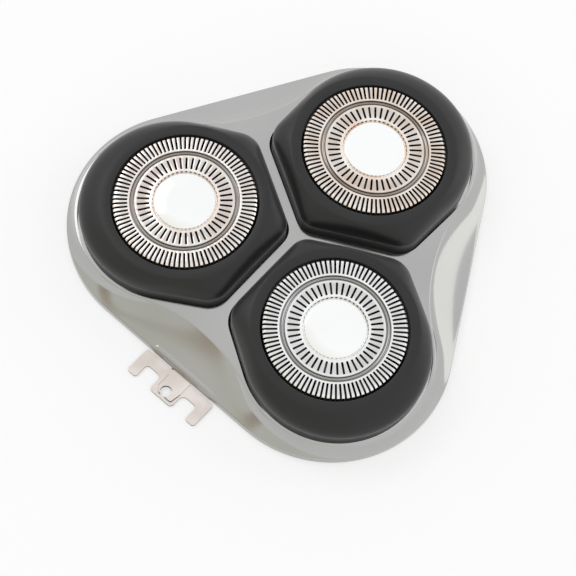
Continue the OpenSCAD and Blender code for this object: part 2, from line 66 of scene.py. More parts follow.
# %% [markdown]
# The cap's face is a row of bands, so each radius is told from the band outside it. That way no
# band can run into the next when the cap grows or shrinks.

# %% Sizes of the caps and their discs
CAP_DEPTH = 3.5
CAP_SHEET = 0.25
CAP_FLANGE = 1.2
SLOT_WIDTH = 0.33
OUTER_SLOT = 2.3
INNER_SLOT = 2
TRACK_MARGIN = 0.7      # from a track of slots to the middle of the groove
WELL_BAND = 0.45        # from the inner slots to the well of the disc
WELL_DEPTH = 0.5
DISC_GAP = 0.2
DISC_THICKNESS = 0.4

outer_track = cap_radius - OUTER_SLOT
groove_radius = outer_track - TRACK_MARGIN
inner_track_end = groove_radius - TRACK_MARGIN
inner_track = inner_track_end - INNER_SLOT
well_radius = inner_track - WELL_BAND
disc_radius = well_radius - DISC_GAP
print("slots from", round(inner_track, 2), "to", round(cap_radius, 2), "mm, disc", round(disc_radius, 2))

# %% [markdown]
# A floating ring is a wall round its cap. Its belt is the widest line of it, and depths are
# measured down from the shaving surface, as they would be on the bench.

# %% Sizes of the floating rings
SHOULDER_WALL = 3.2
ARC_WALL = 3.35
RING_OFFSET = 2         # how far outwards of the cap's middle the large arc has its own
SHOULDER_RADIUS = 4
POINT_RADIUS = 3
LAND_WIDTH = 1.9        # of the flat land round the cap
LAND_DROP = 0.4
RING_WAIST = 3.2        # depth of the belt
RING_DEPTH = 6.1
RING_UNDERCUT = 0.12    # how far the wall under the belt is set back
PEG_RADIUS = 0.5
PEG_LENGTH = 0.9
PEG_DEPTH = 6.4
EAR_WIDTH = 2           # of the two ears that carry the pegs

shoulder_reach = cap_radius + SHOULDER_WALL
land_radius = cap_radius + LAND_WIDTH
recess_radius = cap_radius + CAP_FLANGE + 0.1
print("land radius", round(land_radius, 2), "mm, shoulders reach", round(shoulder_reach, 2), "mm")

# %% [markdown]
# The housing follows the rings: the crease runs just outside their pockets, and the rim flares
# out from the crease. Its walls are about a millimetre, as plated mouldings of this size are.

# %% Sizes of the housing
RIM_FLARE = 3.9         # from the crease out to the rim, at the corners
RIM_INSET = 1.1
CREASE_HEIGHT = 4.6
CREASE_LIP = 0.35       # from the pocket to the crease
WAIST_MARGIN = 3.7      # from the heads' circle to the crease, halfway between two heads
TOP_DOME = 1.2
RIM_BAND = 1.2
SKIRT_WALL = 1.05
TOP_WALL = 1.0
POCKET_GAP = 0.3
COLLAR_WALL = 0.8
COLLAR_DEPTH = 6.1
STEM_RADIUS = 1.2
FRAME_TOP = 2.0
print("walls of", SKIRT_WALL, "and", TOP_WALL, "mm, a gap of", POCKET_GAP, "mm round each ring")

# %% [markdown]
# A lathe-like piece that isn't round is easiest as a stack of closed loops, all seen from the
# same axis. Each loop is grown from the one before with an extrude, and its vertices slide
# along their own direction, so the mesh stays an even grid that shades smoothly. What is truly
# round is spun from a profile instead, and plain boxes and rods serve as ears and as cutters.

# %% Helpers that shape a mesh
def grow(mesh, rim, place):
    """Extrudes a closed rim of edges and moves each new vertex to place(its own angle)."""
    made = bmesh.ops.extrude_edge_only(mesh, edges=rim)["geom"]
    for vertex in [part for part in made if isinstance(part, bmesh.types.BMVert)]:
        vertex.co = place(math.atan2(vertex.co.y, vertex.co.x))
    return [part for part in made if isinstance(part, bmesh.types.BMEdge) and part.is_boundary]


def start_loop(mesh, segments, place):
    """A circle of edges whose vertices are moved to place(angle)."""
    made = bmesh.ops.create_circle(mesh, segments=segments, radius=1)
    for vertex in made["verts"]:
        vertex.co = place(math.atan2(vertex.co.y, vertex.co.x))
    return list({edge for vertex in made["verts"] for edge in vertex.link_edges})


def lathe(profile, steps=96):
    """A profile of (radius, height) points spun about the axis."""
    mesh = bmesh.new()
    points = [mesh.verts.new((radius, 0, height)) for radius, height in profile]
    edges = [mesh.edges.new(pair) for pair in zip(points, points[1:])]
    bmesh.ops.spin(mesh, geom=points + edges, cent=(0, 0, 0), axis=(0, 0, 1),
                   angle=math.tau, steps=steps, use_merge=True, use_duplicate=False)
    bmesh.ops.remove_doubles(mesh, verts=mesh.verts, dist=0.0005)
    bmesh.ops.recalc_face_normals(mesh, faces=mesh.faces)
    return mesh


def block(mesh, low, high):
    """A box between two corners, added to a mesh."""
    size = [b - a for a, b in zip(low, high)]
    middle = [(a + b) / 2 for a, b in zip(low, high)]
    matrix = Matrix.Translation(middle) @ Matrix.Diagonal((*size, 1))
    bmesh.ops.create_cube(mesh, size=1, matrix=matrix)


def rod(mesh, start, end, radius, segments=32):
    """A closed cylinder between two points, added to a mesh."""
    start, end = Vector(start), Vector(end)
    along = end - start
    matrix = Matrix.Translation((start + end) / 2) @ along.to_track_quat("Z", "Y").to_matrix().to_4x4()
    bmesh.ops.create_cone(mesh, cap_ends=True, segments=segments, radius1=radius,
                          radius2=radius, depth=along.length, matrix=matrix)


# %% [markdown]
# The floating rings and the housing are both drawn from arcs. A convex outline round a few
# circles is what a tight belt lies along, and a ray from the middle meets the belt at the least
# distance that any straight edge of support allows. The search for it is coarse first and then
# fine, because an outline read in whole degrees would leave facets that mirror as a zigzag.

# %% Outlines
def support(circles, angle):
    """How far the circles reach in one direction, square on."""
    return max(x * math.cos(angle) + y * math.sin(angle) + radius for x, y, radius in circles)


BELT_SEARCH = 30
BELT_THIRDS = 28


@functools.lru_cache(maxsize=None)
def belt_reach(circles, angle):
    """How far the belt round the circles lies from the middle, in one direction."""
    def crossing(offset):
        return support(circles, angle + offset) / math.cos(offset)
    step = math.radians(2)
    nearest = min(range(-BELT_SEARCH, BELT_SEARCH + 1), key=lambda count: crossing(count * step)) * step
    low, high = nearest - step, nearest + step
    for _ in range(BELT_THIRDS):
        third = (high - low) / 3
        if crossing(low + third) < crossing(high - third):
            high -= third
        else:
            low += third
    return crossing((low + high) / 2)


def grown(circles, by):
    return tuple((x, y, radius + by) for x, y, radius in circles)


shoulder_y = shoulder_reach - SHOULDER_RADIUS
shoulder_x = -(flank_distance - SHOULDER_RADIUS - shoulder_y * 0.5) / math.cos(math.radians(30))
point_x = -(flank_distance - POINT_RADIUS) / math.cos(math.radians(30))
ring_arc = cap_radius + ARC_WALL
ring_circles = ((RING_OFFSET, 0, ring_arc), (shoulder_x, shoulder_y, SHOULDER_RADIUS),
                (point_x, 0, POINT_RADIUS), (shoulder_x, -shoulder_y, SHOULDER_RADIUS))


def head_angle(head):
    return math.radians(HEAD_STEP * (head - 1) + 90)


def head_matrix(head):
    """From a head's own axes, with its origin on the shaving surface, to the unit's."""
    return (Matrix.Rotation(head_angle(head), 4, "Z")
            @ Matrix.Translation((HEAD_RADIUS, 0, HEAD_HEIGHT))
            @ Matrix.Rotation(math.radians(HEAD_LEAN), 4, "Y"))


crease_arc = ring_arc + POCKET_GAP + CREASE_LIP
crease_waist = HEAD_RADIUS + WAIST_MARGIN
rim_corner = crease_arc + RIM_FLARE
rim_corner_distance = HEAD_RADIUS - RIM_INSET
rim_side = rim_corner_distance * 0.5 + rim_corner
rim_circles = tuple((rim_corner_distance * math.cos(head_angle(head)),
                     rim_corner_distance * math.sin(head_angle(head)), rim_corner) for head in HEADS)
print("ring arc", round(ring_arc, 2), "mm, rim", round(rim_side, 2), "mm from the middle at its sides")

# %% [markdown]
# The crease between skirt and top follows each head as an arc, and between two heads it bends
# inwards as a cove that touches both arcs. A curve drawn by eye would kink where the arcs meet,
# so the cove's radius is worked out from the two circles that it has to touch.

# %% The crease
crease_centre = HEAD_RADIUS - RING_WAIST * math.sin(math.radians(HEAD_LEAN)) + RING_OFFSET
waist_x = crease_centre * 0.5
waist_y = crease_centre * math.sin(math.radians(60))
cove_radius = (((crease_waist - waist_x) ** 2 + waist_y ** 2 - crease_arc ** 2)
               / (2 * (crease_arc - crease_waist + waist_x)))
cove_centre = crease_waist + cove_radius
cove_end = math.atan2(waist_y * cove_radius / (crease_arc + cove_radius),
                      waist_x + (cove_centre - waist_x) * crease_arc / (crease_arc + cove_radius))
print("cove radius", round(cove_radius, 2), "mm, ends", round(math.degrees(cove_end), 1), "deg off")


def crease_reach(angle):
    """How far the crease lies from the middle, in one direction."""
    third = math.radians(HEAD_STEP)
    off_head = abs((angle + math.pi / 2) % third - third / 2)
    off_side = third / 2 - off_head
    if off_side < cove_end:
        return (cove_centre * math.cos(off_side)
                - math.sqrt(cove_radius ** 2 - (cove_centre * math.sin(off_side)) ** 2))
    return (crease_centre * math.cos(off_head)
            + math.sqrt(crease_arc ** 2 - (crease_centre * math.sin(off_head)) ** 2))


def crease_level(reach):
    """The crease's height: it sinks outwards at the heads' own lean."""
    return CREASE_HEIGHT - (reach - crease_waist) * math.tan(math.radians(HEAD_LEAN))


# %% [markdown]
# A finished mesh becomes an object at the origin, shaded smooth with sharp edges only where the
# surface really turns. Then it rides on the body that carries the real piece. Modifiers are
# applied on the spot, so each piece is a plain mesh by the time the next one is made.

# %% Turning a mesh into a piece
def new_object(mesh, name, matrix=Matrix.Identity(4), sharp=35):
    mesh.transform(Matrix.Scale(MM, 4) @ matrix)
    data = bpy.data.meshes.new(name)
    mesh.to_mesh(data)
    mesh.free()
    piece = bpy.data.objects.new(name, data)
    bpy.context.scene.collection.objects.link(piece)
    shade(piece, sharp)
    return piece


def shade(piece, sharp):
    piece.data.polygons.foreach_set("use_smooth", [True] * len(piece.data.polygons))
    piece.data.set_sharp_from_angle(angle=math.radians(sharp))


def seat(piece, body, materials, stands_for=()):
    """Gives a piece its finishes, its body and the construction nodes that it stands for."""
    for material in materials:
        if material.name not in piece.data.materials:
            piece.data.materials.append(material)
    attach(piece, body)
    if stands_for:
        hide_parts(*stands_for)
    print(piece.name, len(piece.data.polygons), "faces on", body)


def bake(piece):
    """Applies a piece's modifiers to its mesh."""
    bpy.context.view_layer.update()
    solved = piece.evaluated_get(bpy.context.evaluated_depsgraph_get())
    result = bpy.data.meshes.new_from_object(solved)
    piece.modifiers.clear()
    piece.data = result


def combine(piece, tool, operation, lining=None):
    """Cuts or joins two solids and drops the tool; a lining is the finish of the cut's walls."""
    if lining:
        tool.data.materials.append(lining)
    step = piece.modifiers.new("combine", "BOOLEAN")
    step.operation = operation
    step.solver = "EXACT"
    step.material_mode = "TRANSFER"
    step.object = tool
    bake(piece)
    bpy.data.objects.remove(tool)


# %% [markdown]
# Every finish is a procedural material, with no picture in it. Object coordinates are in
# metres, so a noise scale of 3000 gives specks a third of a millimetre across. The colour
# drifts a little over the piece, the roughness drifts more, and a fine bump breaks up the
# highlights. One function makes them all, because real surfaces differ mostly in these numbers.

# %% Finishes
def link(tree, source, socket, target, name):
    tree.links.new(source.outputs[socket], target.inputs[name])


def add(tree, kind, operation=None, **sockets):
    """A new shader node, with its operation and the values of some of its sockets."""
    node = tree.nodes.new(f"ShaderNode{kind}")
    if operation:
        node.operation = operation
    for name, value in sockets.items():
        node.inputs[name.replace("_", " ")].default_value = value
    return node


def finish(name, dark, light, metallic, rough, drift=60, grain=3000, bump=0.1, depth=0.02,
           specular=0.5, sheen=0, stretch=(1, 1, 1)):
    """dark and light are the colour's two ends, and rough holds the roughness's two ends."""
    material = bpy.data.materials.new(name)
    material.use_nodes = True
    tree = material.node_tree
    shader = tree.nodes["Principled BSDF"]
    shader.inputs["Metallic"].default_value = metallic
    shader.inputs["Specular IOR Level"].default_value = specular
    shader.inputs["Sheen Weight"].default_value = sheen
    shader.inputs["Sheen Roughness"].default_value = 0.4
    place = add(tree, "TexCoord")
    mapping = add(tree, "Mapping", Scale=stretch)
    link(tree, place, "Object", mapping, "Vector")

    cloud = add(tree, "TexNoise", Scale=drift, Detail=3)
    link(tree, mapping, "Vector", cloud, "Vector")
    ramp = add(tree, "ValToRGB")
    for end, position, colour in zip(ramp.color_ramp.elements, (0.35, 0.65), (dark, light)):
        end.position = position
        end.color = (*colour, 1)
    link(tree, cloud, "Fac", ramp, "Fac")
    link(tree, ramp, "Color", shader, "Base Color")

    speck = add(tree, "TexNoise", Scale=grain, Detail=4)
    link(tree, mapping, "Vector", speck, "Vector")
    spread = add(tree, "MapRange", To_Min=rough[0], To_Max=rough[1])
    link(tree, speck, "Fac", spread, "Value")
    link(tree, spread, "Result", shader, "Roughness")

    relief = add(tree, "Bump", Strength=bump, Distance=depth * MM)
    link(tree, speck, "Fac", relief, "Height")
    link(tree, relief, "Normal", shader, "Normal")
    return material


# %% [markdown]
# The housing wears a satin metal plating, which mirrors the room softly. The rings are charcoal plastic
# with a powdery sheen. The walls of pockets and holes get a nearly black finish that is painted shade,
# standing for the little light that gets in there, and so does the inside of the caps.

# %% Plating, ring plastic and painted shade for the insides
plating = finish("satin_plating", (0.42, 0.422, 0.415), (0.46, 0.462, 0.455), 1, (0.09, 0.15),
                 drift=40, grain=900, bump=0.05, depth=0.01)
ring_plastic = finish("charcoal_plastic", (0.009, 0.0095, 0.0095), (0.013, 0.014, 0.0135), 0,
                      (0.34, 0.44), drift=90, grain=5200, bump=0.15, depth=0.02, specular=0.45,
                      sheen=0.5)
# Painted shade: a nearly black finish for the walls of pockets and holes, where little light gets in.
pocket_shade_paint = finish("pocket_painted_shade", (0.010, 0.010, 0.011), (0.022, 0.022, 0.024), 0.4,
                     (0.45, 0.60), grain=2600, bump=0.1, depth=0.02)
# Painted shade: a nearly black finish for the caps' inside, their slot walls and the wall below the
# slots.
cap_painted_shade = finish("cap_painted_shade", (0.012, 0.012, 0.012), (0.030, 0.029, 0.028), 0.6, (0.45, 0.60),
                    drift=220, grain=4200, bump=0.1, depth=0.01)
print("finishes so far:", ", ".join(material.name for material in bpy.data.materials))

# %% [markdown]
# The caps are pressed steel, and their colour goes with the distance from the cap's middle. The groove
# between the tracks is darker, a duller finish with painted shade over it, with thin lines of painted
# shade at its two edges, and the rims and the shoulders beside the groove carry painted highlights. A
# Mapping node lays the pattern flat on the leaning cap, and a ramp holds one tone for each band. Two of
# the caps mirror warm surroundings in the photograph, and their warm tint is painted reflection, so each
# head has its own pair of colours.

# %% Cap steel
HALF_GROOVE = 0.36
CAP_EDGE = 0.2


def cap_finish(name, head, warm, pale):
    """Pressed steel whose colour goes with the distance from the cap's middle, with painted shade and
    painted highlights in its bands.
    """
    material = finish(name, warm, pale, 1, (0.14, 0.26), drift=260, grain=4200, bump=0.05, depth=0.01)
    tree = material.node_tree
    shader = tree.nodes["Principled BSDF"]
    base = shader.inputs["Base Color"].links[0].from_node
    place = add(tree, "TexCoord")
    level = add(tree, "Mapping", Location=head_matrix(head).to_translation() * MM,
                Rotation=head_matrix(head).to_euler())
    level.vector_type = "TEXTURE"
    link(tree, place, "Object", level, "Vector")
    flat = add(tree, "VectorMath", "MULTIPLY")
    flat.inputs[1].default_value = (1, 1, 0)
    link(tree, level, "Vector", flat, 0)
    reach = add(tree, "VectorMath", "LENGTH")
    link(tree, flat, "Vector", reach, 0)
    share = add(tree, "Math", "DIVIDE")
    share.inputs[1].default_value = (cap_radius + CAP_EDGE) * MM
    link(tree, reach, "Value", share, 0)
    bands = add(tree, "ValToRGB")
    ramp = bands.color_ramp
    low, high = groove_radius - HALF_GROOVE, groove_radius + HALF_GROOVE
    # The 0.20 stops are painted shade at the groove's edges, the groove's 0.45 is a duller finish with
    # painted shade, and the stops of 0.95 and 1.0 are painted highlights.
    tones_and_painted_shade = [(inner_track, 1.0), (inner_track + 0.5, 0.78), (inner_track_end - 0.3, 0.74),
             (low - 0.10, 0.95), (low, 0.20), (low + 0.12, 0.45), (high - 0.12, 0.45), (high, 0.20),
             (high + 0.10, 1.0), (outer_track + 0.5, 0.84), (cap_radius - 0.7, 0.84),
             (cap_radius - 0.3, 1.0)]
    for radius, tone in tones_and_painted_shade:
        stop = ramp.elements.new(radius / (cap_radius + CAP_EDGE))
        stop.color = (tone, tone, tone, 1)
    ramp.elements.remove(ramp.elements[0])
    ramp.elements.remove(ramp.elements[-1])
    link(tree, share, "Value", bands, "Fac")
    tint = add(tree, "MixRGB", Fac=1)
    tint.blend_type = "MULTIPLY"
    link(tree, base, "Color", tint, "Color1")
    link(tree, bands, "Color", tint, "Color2")
    link(tree, tint, "Color", shader, "Base Color")
    return material


# The warm and rose tints of heads 1 and 2 are painted reflection of warm surroundings.
cap_steels_painted_light = {1: cap_finish("cap_steel_warm_painted_reflection", 1, (0.84, 0.70, 0.60), (0.95, 0.89, 0.84)),
              2: cap_finish("cap_steel_rose_painted_reflection", 2, (0.86, 0.76, 0.70), (0.95, 0.91, 0.88)),
              3: cap_finish("cap_steel_neutral", 3, (0.86, 0.85, 0.84), (0.95, 0.95, 0.95))}
print("cap steels:", ", ".join(material.name for material in cap_steels_painted_light.values()))

# %% [markdown]
# The other finishes are quieter. Drawn wire and pins have their grain stretched along the draw, blades
# are dark steel, and the plastics underneath differ by colour and by a moulded grain. The stamped plate
# has two: a pale rolled face, and a dark edge where it was sheared, partly the shear's own dullness and
# partly painted shade.

# %% The other finishes
disc_chrome = finish("bright_disc", (0.93, 0.93, 0.93), (0.97, 0.97, 0.97), 1, (0.05, 0.12),
                     drift=80, grain=2500, bump=0.03, depth=0.01)
plate_steel = finish("stamped_steel", (0.68, 0.61, 0.565), (0.79, 0.73, 0.69), 1, (0.26, 0.40),
                     drift=260, grain=3600, bump=0.12, depth=0.02)
# Partly the shear's own dullness, partly painted shade on the plate's upright faces.
sheared_edge_painted_shade = finish("sheared_edge_painted_shade", (0.05, 0.045, 0.04), (0.13, 0.12, 0.11), 0.8, (0.45, 0.60),
                      drift=400, grain=4200, bump=0.2, depth=0.02)
pin_steel = finish("drawn_steel", (0.55, 0.55, 0.54), (0.68, 0.68, 0.67), 1, (0.22, 0.34),
                   grain=2600, bump=0.1, depth=0.01, stretch=(1, 8, 8))
blade_steel = finish("ground_steel", (0.030, 0.030, 0.032), (0.070, 0.070, 0.072), 1, (0.30, 0.42),
                     drift=300, grain=3000, bump=0.12, depth=0.01)
spring_steel = finish("wire_steel", (0.52, 0.52, 0.53), (0.66, 0.66, 0.67), 1, (0.24, 0.36),
                      drift=500, grain=4000, bump=0.1, depth=0.01)
frame_plastic = finish("frame_plastic", (0.030, 0.032, 0.034), (0.040, 0.042, 0.045), 0,
                       (0.42, 0.58), grain=3800, bump=0.25, depth=0.02)
carrier_plastic = finish("carrier_plastic", (0.024, 0.025, 0.027), (0.034, 0.035, 0.037), 0,
                         (0.40, 0.55), grain=3800, bump=0.25, depth=0.02)
knob_plastic = finish("knob_plastic", (0.30, 0.31, 0.32), (0.38, 0.39, 0.40), 0,
                      (0.38, 0.52), grain=3400, bump=0.25, depth=0.02)
hub_plastic = finish("hub_plastic", (0.62, 0.59, 0.50), (0.72, 0.69, 0.60), 0,
                     (0.36, 0.50), grain=3400, bump=0.2, depth=0.02)
print("finishes in all:", len(bpy.data.materials))

# %% [markdown]
# The floating ring is one moulded piece. From its lower edge the section rises as a slightly
# undercut wall to a crisp belt line, bends over a round shoulder, and ends in a flat land round
# the cap. The belt follows the D-shaped outline and the land is a true circle, so the shoulder
# is broad on the outside and steep at the flanks that face the other heads. A bevel on a D would
# be equally wide all round, so the section is blended from the belt to the land instead.

# %% The ring's section
SHOULDER_TURN = 56
SHOULDER_STEPS = 12
RING_BORE = cap_radius + 0.3
LOWER_EDGE = 0.12


def shoulder_section(bend):
    """One line of the shoulder; edge is the belt's reach in the same direction."""
    whole = math.radians(SHOULDER_TURN)
    share = (math.cos(bend) - math.cos(whole)) / (1 - math.cos(whole))
    height = -RING_WAIST + (RING_WAIST - LAND_DROP) * math.sin(bend) / math.sin(whole)
    return lambda edge: (land_radius + (edge - land_radius) * share, height)


ring_sections = [
    lambda edge: (edge - RING_UNDERCUT - LOWER_EDGE, -RING_DEPTH),
    lambda edge: (edge - RING_UNDERCUT, -RING_DEPTH + LOWER_EDGE),
    lambda edge: (edge - RING_UNDERCUT, -RING_WAIST - 0.32),
    lambda edge: (edge - RING_UNDERCUT + 0.06, -RING_WAIST - 0.25),
    lambda edge: (edge - 0.04, -RING_WAIST - 0.16),
    lambda edge: (edge, -RING_WAIST - 0.08)]
ring_sections += [shoulder_section(math.radians(SHOULDER_TURN * step / SHOULDER_STEPS))
                  for step in range(SHOULDER_STEPS + 1)]
ring_sections += [
    lambda edge: (land_radius - 0.15, -LAND_DROP + 0.035),
    lambda edge: (land_radius - 0.7, -LAND_DROP + 0.05),
    lambda edge: (RING_BORE + 0.2, -LAND_DROP + 0.05),
    lambda edge: (RING_BORE + 0.06, -LAND_DROP + 0.01),
    lambda edge: (RING_BORE, -LAND_DROP - 0.08),
    lambda edge: (RING_BORE, -CAP_DEPTH + 0.3),
    lambda edge: (recess_radius, -CAP_DEPTH + 0.3),
    lambda edge: (recess_radius, -RING_DEPTH)]
print("a ring's section has", len(ring_sections), "lines")

# %% [markdown]
# The section is carried round the outline loop by loop, and the last loop is bridged to the
# first, which closes the ring. Two ears under the shoulders carry the pegs that it rocks on.

# %% Floating rings
RING_SEGMENTS = 192
PEG_ROOT = 0.2


def ring_place(section):
    def place(angle):
        radius, height = section(belt_reach(ring_circles, round(angle, 9)))
        return Vector((radius * math.cos(angle), radius * math.sin(angle), height))
    return place


def head_ring(head):
    mesh = bmesh.new()
    first = start_loop(mesh, RING_SEGMENTS, ring_place(ring_sections[0]))
    last = first
    for section in ring_sections[1:]:
        last = grow(mesh, last, ring_place(section))
    bmesh.ops.bridge_loops(mesh, edges=first + last)
    bmesh.ops.recalc_face_normals(mesh, faces=mesh.faces)
    for side in (-1, 1):
        inner, outer = recess_radius, shoulder_reach - RING_UNDERCUT
        rod(mesh, (0, side * inner, -PEG_DEPTH), (0, side * outer, -PEG_DEPTH), EAR_WIDTH / 2)
        rod(mesh, (0, side * (outer - PEG_ROOT), -PEG_DEPTH),
            (0, side * (shoulder_reach + PEG_LENGTH), -PEG_DEPTH), PEG_RADIUS)
        low, high = sorted((side * inner, side * outer))
        block(mesh, (-EAR_WIDTH / 2, low, -PEG_DEPTH), (EAR_WIDTH / 2, high, -RING_DEPTH + PEG_ROOT))
    return new_object(mesh, f"floating_ring_{head}", head_matrix(head))


for head in HEADS:
    seat(head_ring(head), f"head_{head}", [ring_plastic], [f"head_ring_{head}"])

# %% [markdown]
# The cap is pressed from thin steel and its slots are sawn right through, over the rounded rim
# and a little way down the side, so the rim looks toothed. Cutting 135 slots with Booleans would
# be slow and leave ragged shading. Instead one sector of eight degrees holds one inner and two
# outer slots: it starts as a flat grid, its lines are bent to the section, the slot cells are
# taken out, and the sector is copied round and given its thickness.

# %% The cap's section
SECTORS = 45
HALF_SECTOR = 180 / SECTORS
CLOSED, INNER, OUTER = "closed", "inner", "outer"
# Each station is a radius, a height, and what lies from here to the next one.
cap_stations = [
    (well_radius - 0.55, -WELL_DEPTH, CLOSED), (well_radius - 0.03, -WELL_DEPTH, CLOSED),
    (well_radius + 0.02, -0.44, CLOSED), (well_radius + 0.05, -0.30, INNER),
    (well_radius + 0.12, -0.06, CLOSED), (well_radius + 0.21, 0.03, CLOSED),
    (inner_track - 0.10, 0.04, CLOSED), (inner_track + 0.06, 0.0, INNER),
    (inner_track + 1.0, 0.0, INNER), (inner_track_end - 0.05, 0.0, CLOSED)]
cap_stations += [(groove_radius + off, height, CLOSED) for off, height in (
    (-0.44, 0.0), (-0.32, -0.03), (-0.25, -0.30), (-0.15, -0.33), (-0.09, -0.16), (0, -0.12),
    (0.09, -0.16), (0.15, -0.33), (0.25, -0.30), (0.32, -0.03), (0.44, 0.0))]
cap_stations += [
    (outer_track, 0.0, OUTER), (outer_track + 0.9, 0.0, OUTER), (cap_radius - 0.58, 0.0, OUTER),
    (cap_radius - 0.28, -0.07, OUTER), (cap_radius - 0.08, -0.27, OUTER),
    (cap_radius, -0.55, OUTER), (cap_radius, -1.00, CLOSED),
    (cap_radius, -CAP_DEPTH + CAP_SHEET, CLOSED),
    (cap_radius + CAP_FLANGE, -CAP_DEPTH + CAP_SHEET, CLOSED)]
print("the cap's section has", len(cap_stations), "stations")

# %% [markdown]
# A sector has eight grid lines. Inside the groove two of them edge the one slot, and outside it
# four of them edge the two. The bars between the slots are crowned a little, so their edges
# stay soft and each bar takes its own light.

# %% One sector of a cap
BAR_CROWN = 0.025
GROOVE_ROW = 14
INNER_LINES = (2.6, 3.3)
OUTER_LINE = 0.6
SLOT_COLUMNS = {INNER: {3}, OUTER: {1, 5}}


def cap_lines(radius, row):
    """Angles of the eight grid lines of a sector at a radius, and which of them edge a slot."""
    half_slot = math.degrees(math.asin(SLOT_WIDTH / 2 / radius))
    if row < GROOVE_ROW:
        side = [half_slot, *INNER_LINES, HALF_SECTOR]
        edging = [True, False, False, False]
    else:
        middle = HALF_SECTOR / 2
        side = [OUTER_LINE, middle - half_slot, middle + half_slot, HALF_SECTOR]
        edging = [False, True, True, False]
    return [-a for a in reversed(side)] + side, edging[::-1] + edging


def cap_sector():
    mesh = bmesh.new()
    rows, lines = len(cap_stations), 8
    bmesh.ops.create_grid(mesh, x_segments=rows - 1, y_segments=lines - 1, size=1)
    column_of = {}
    for vertex in mesh.verts:
        row = round((vertex.co.x + 1) / 2 * (rows - 1))
        line = round((vertex.co.y + 1) / 2 * (lines - 1))
        column_of[vertex] = (row, line)
    for vertex, (row, line) in column_of.items():
        radius, height, kind = cap_stations[row]
        angles, edging = cap_lines(radius, row)
        slotted = kind != CLOSED or cap_stations[row - 1][2] != CLOSED
        if slotted and edging[line] and height > -0.05:
            height -= BAR_CROWN
        angle = math.radians(angles[line])
        vertex.co = (radius * math.cos(angle), radius * math.sin(angle), height)
    gone = []
    for face in mesh.faces:
        row = min(column_of[vertex][0] for vertex in face.verts)
        line = min(column_of[vertex][1] for vertex in face.verts)
        if line in SLOT_COLUMNS.get(cap_stations[row][2], ()):
            gone.append(face)
    bmesh.ops.delete(mesh, geom=gone, context="FACES")
    return mesh


# %% [markdown]
# Spin copies the sector round, the seams are merged, and Solidify gives the sheet its thickness inwards.
# The inside and the walls of the slots take a second, nearly black finish, which is painted shade, and so
# does the wall below the slots, which stands in the ring's shade.

# %% Slotted caps
CAP_SHADE = -0.9


def shaving_cap(head):
    mesh = cap_sector()
    bmesh.ops.spin(mesh, geom=mesh.verts[:] + mesh.edges[:] + mesh.faces[:], cent=(0, 0, 0),
                   axis=(0, 0, 1), angle=math.tau, steps=SECTORS, use_duplicate=True, use_merge=False)
    bmesh.ops.remove_doubles(mesh, verts=mesh.verts, dist=0.002)
    bmesh.ops.recalc_face_normals(mesh, faces=mesh.faces)
    if max(mesh.faces, key=lambda face: face.calc_center_median().z).normal.z < 0:
        bmesh.ops.reverse_faces(mesh, faces=mesh.faces)
    piece = new_object(mesh, f"slotted_cap_{head}", head_matrix(head), sharp=28)
    wall = piece.modifiers.new("sheet", "SOLIDIFY")
    wall.thickness = CAP_SHEET * MM
    wall.offset = -1
    wall.material_offset = 1
    wall.material_offset_rim = 1
    piece.data.materials.append(cap_steels_painted_light[head])
    piece.data.materials.append(cap_painted_shade)
    bake(piece)
    shade(piece, 28)
    from_head = (Matrix.Scale(MM, 4) @ head_matrix(head)).inverted()
    # Faces below CAP_SHADE get the painted shade, as they lie in the ring's shade.
    for face in piece.data.polygons:
        if (from_head @ face.center).z < CAP_SHADE:
            face.material_index = 1
    return piece


for head in HEADS:
    seat(shaving_cap(head), f"head_{head}", [cap_steels_painted_light[head], cap_painted_shade],
         [f"shaving_cap_{head}"])

# %% [markdown]
# The centre disc is a bright button in the cap's well. Its top edge is broken with a small
# chamfer, which catches a thin line of light. A bevelled cylinder would do as well, and the
# lathed profile has every width of that chamfer in plain sight.

# %% Centre discs
DISC_SEGMENTS = 128
disc_top = -WELL_DEPTH + DISC_THICKNESS


def centre_disc(head):
    mesh = lathe([(0, -WELL_DEPTH), (disc_radius, -WELL_DEPTH), (disc_radius, disc_top - 0.09),
                  (disc_radius - 0.03, disc_top - 0.03), (disc_radius - 0.09, disc_top),
                  (disc_radius / 2, disc_top), (0, disc_top)], steps=DISC_SEGMENTS)
    return new_object(mesh, f"bright_disc_{head}", head_matrix(head), sharp=40)


for head in HEADS:
    seat(centre_disc(head), f"head_{head}", [disc_chrome], [f"centre_disc_{head}"])

# %% [markdown]
# The housing is a plated shell. Its outside is one stack of loops: a foot, an upright band, a
# hollow sweep up to the crease, and a gently domed top. A subdivision cage would pull the crease
# off its measured place, so each loop is laid where it belongs.

# %% Places on the housing
SWEEP_FROM, SWEEP_TO = 38, 68
SWEEP_START = math.radians(SWEEP_FROM)
SWEEP = math.radians(SWEEP_TO)
top_level = CREASE_HEIGHT + TOP_DOME
print("the top is domed to", top_level, "mm")


def polar(radius, angle, height):
    return Vector((radius * math.cos(angle), radius * math.sin(angle), height))


def rim_reach(angle):
    return belt_reach(rim_circles, round(angle, 9))


def skirt_place(bend, inset=0.0, drop=0.0):
    """A loop of the sweep between the band and the crease."""
    def place(angle):
        rim, reach = rim_reach(angle), crease_reach(angle)
        along = (math.sin(bend) - math.sin(SWEEP_START)) / (math.sin(SWEEP) - math.sin(SWEEP_START))
        upward = (math.cos(SWEEP_START) - math.cos(bend)) / (math.cos(SWEEP_START) - math.cos(SWEEP))
        height = RIM_BAND - drop + (crease_level(reach) - RIM_BAND) * upward
        return polar(rim + (reach - rim) * along - inset, angle, height)
    return place


def band_place(height, inset):
    return lambda angle: polar(rim_reach(angle) - inset, angle, height)


